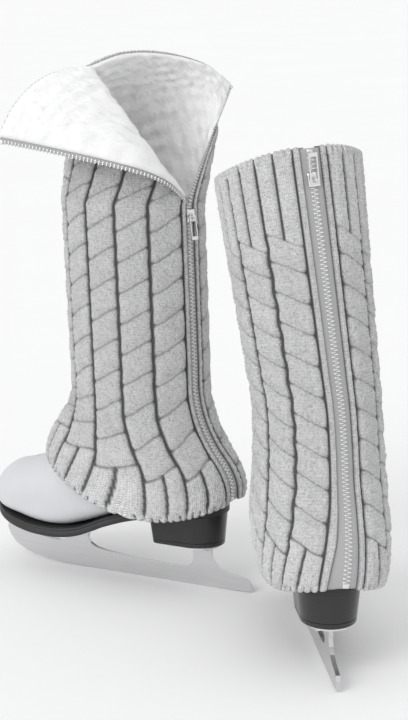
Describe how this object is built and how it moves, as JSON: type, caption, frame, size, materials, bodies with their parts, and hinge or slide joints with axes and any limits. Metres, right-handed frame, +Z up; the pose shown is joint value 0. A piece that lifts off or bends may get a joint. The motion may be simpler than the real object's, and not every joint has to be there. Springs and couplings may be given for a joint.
{
  "type": "figure skates with zip-up boot covers",
  "caption": "Pair of white figure skates with steel blades, each in a grey cable-knit, fleece-lined boot cover with a back zip.",
  "frame": {"origin": "on the ice, under the middle of the left skate's blade", "axes": "+Z up; -X towards the left skate's toe, along its blade; -Y is the left skate's outer side"},
  "size_m": [0.4972, 0.3155, 0.544],
  "materials": {
    "blade_steel": "brushed",
    "plated_steel": "satin plating",
    "white_leather": "smooth, soft sheen",
    "black_leather": "satin",
    "black_lacquer": "glossy",
    "grey_knit": "cable-knit wool",
    "white_fleece": "short fleece pile",
    "zip_cloth": "woven tape",
    "zip_metal": "polished",
    "lace_cord": "braided"
  },
  "bodies": {
    "left_skate": {"left_blade": "blade_steel", "left_boot_lining": "white_fleece", "left_boot_upper": "white_leather", "left_cover_knit": "grey_knit", "left_cover_lining": "white_fleece", "left_heel_block": "black_lacquer", "left_heel_plate": "plated_steel", "left_heel_screw_1": "plated_steel", "left_heel_screw_2": "plated_steel", "left_heel_screw_3": "plated_steel", "left_heel_screw_4": "plated_steel", "left_insole": "white_fleece", "left_lace": "lace_cord", "left_outsole": "black_leather", "left_toe_plate": "plated_steel", "left_toe_screw_1": "plated_steel", "left_toe_screw_2": "plated_steel", "left_toe_screw_3": "plated_steel", "left_toe_screw_4": "plated_steel", "left_tongue": "black_leather", "left_zip_tape_inner": "zip_cloth", "left_zip_tape_outer": "zip_cloth"},
    "right_skate": {"right_blade": "blade_steel", "right_boot_lining": "white_fleece", "right_boot_upper": "white_leather", "right_cover_knit": "grey_knit", "right_cover_lining": "white_fleece", "right_heel_block": "black_lacquer", "right_heel_plate": "plated_steel", "right_heel_screw_1": "plated_steel", "right_heel_screw_2": "plated_steel", "right_heel_screw_3": "plated_steel", "right_heel_screw_4": "plated_steel", "right_insole": "white_fleece", "right_lace": "lace_cord", "right_outsole": "black_leather", "right_toe_plate": "plated_steel", "right_toe_screw_1": "plated_steel", "right_toe_screw_2": "plated_steel", "right_toe_screw_3": "plated_steel", "right_toe_screw_4": "plated_steel", "right_tongue": "black_leather", "right_zip_tape_inner": "zip_cloth", "right_zip_tape_outer": "zip_cloth"},
    "left_slider": {"left_zip_slider": "zip_metal"},
    "left_tab": {"left_pull_tab": "zip_metal"},
    "right_slider": {"right_zip_slider": "zip_metal"},
    "right_tab": {"right_pull_tab": "zip_metal"}
  },
  "joints": [
    {"name": "right_skate_lift", "type": "slide", "parent": "left_skate", "child": "right_skate", "axis": [0, 0, 1], "range_m": [0, 0.25]},
    {"name": "left_zip_slide", "type": "slide", "parent": "left_skate", "child": "left_slider", "axis": [-0.0376, 0, 0.9993], "range_m": [-0.14, 0]},
    {"name": "left_tab_swing", "type": "hinge", "parent": "left_slider", "child": "left_tab", "pos_m": [0.06679, -0.01413, 0.38618], "axis": [-0.3237, -0.9461, -0.0122], "range_deg": [0, 160]},
    {"name": "right_zip_slide", "type": "slide", "parent": "right_skate", "child": "right_slider", "axis": [-0.1572, 0.018, 0.9874], "range_m": [-0.165, 0.012]},
    {"name": "right_tab_swing", "type": "hinge", "parent": "right_slider", "child": "right_tab", "pos_m": [0.25422, -0.14502, 0.44809], "axis": [0.7361, 0.6687, 0.105], "range_deg": [0, 160]}
  ]
}
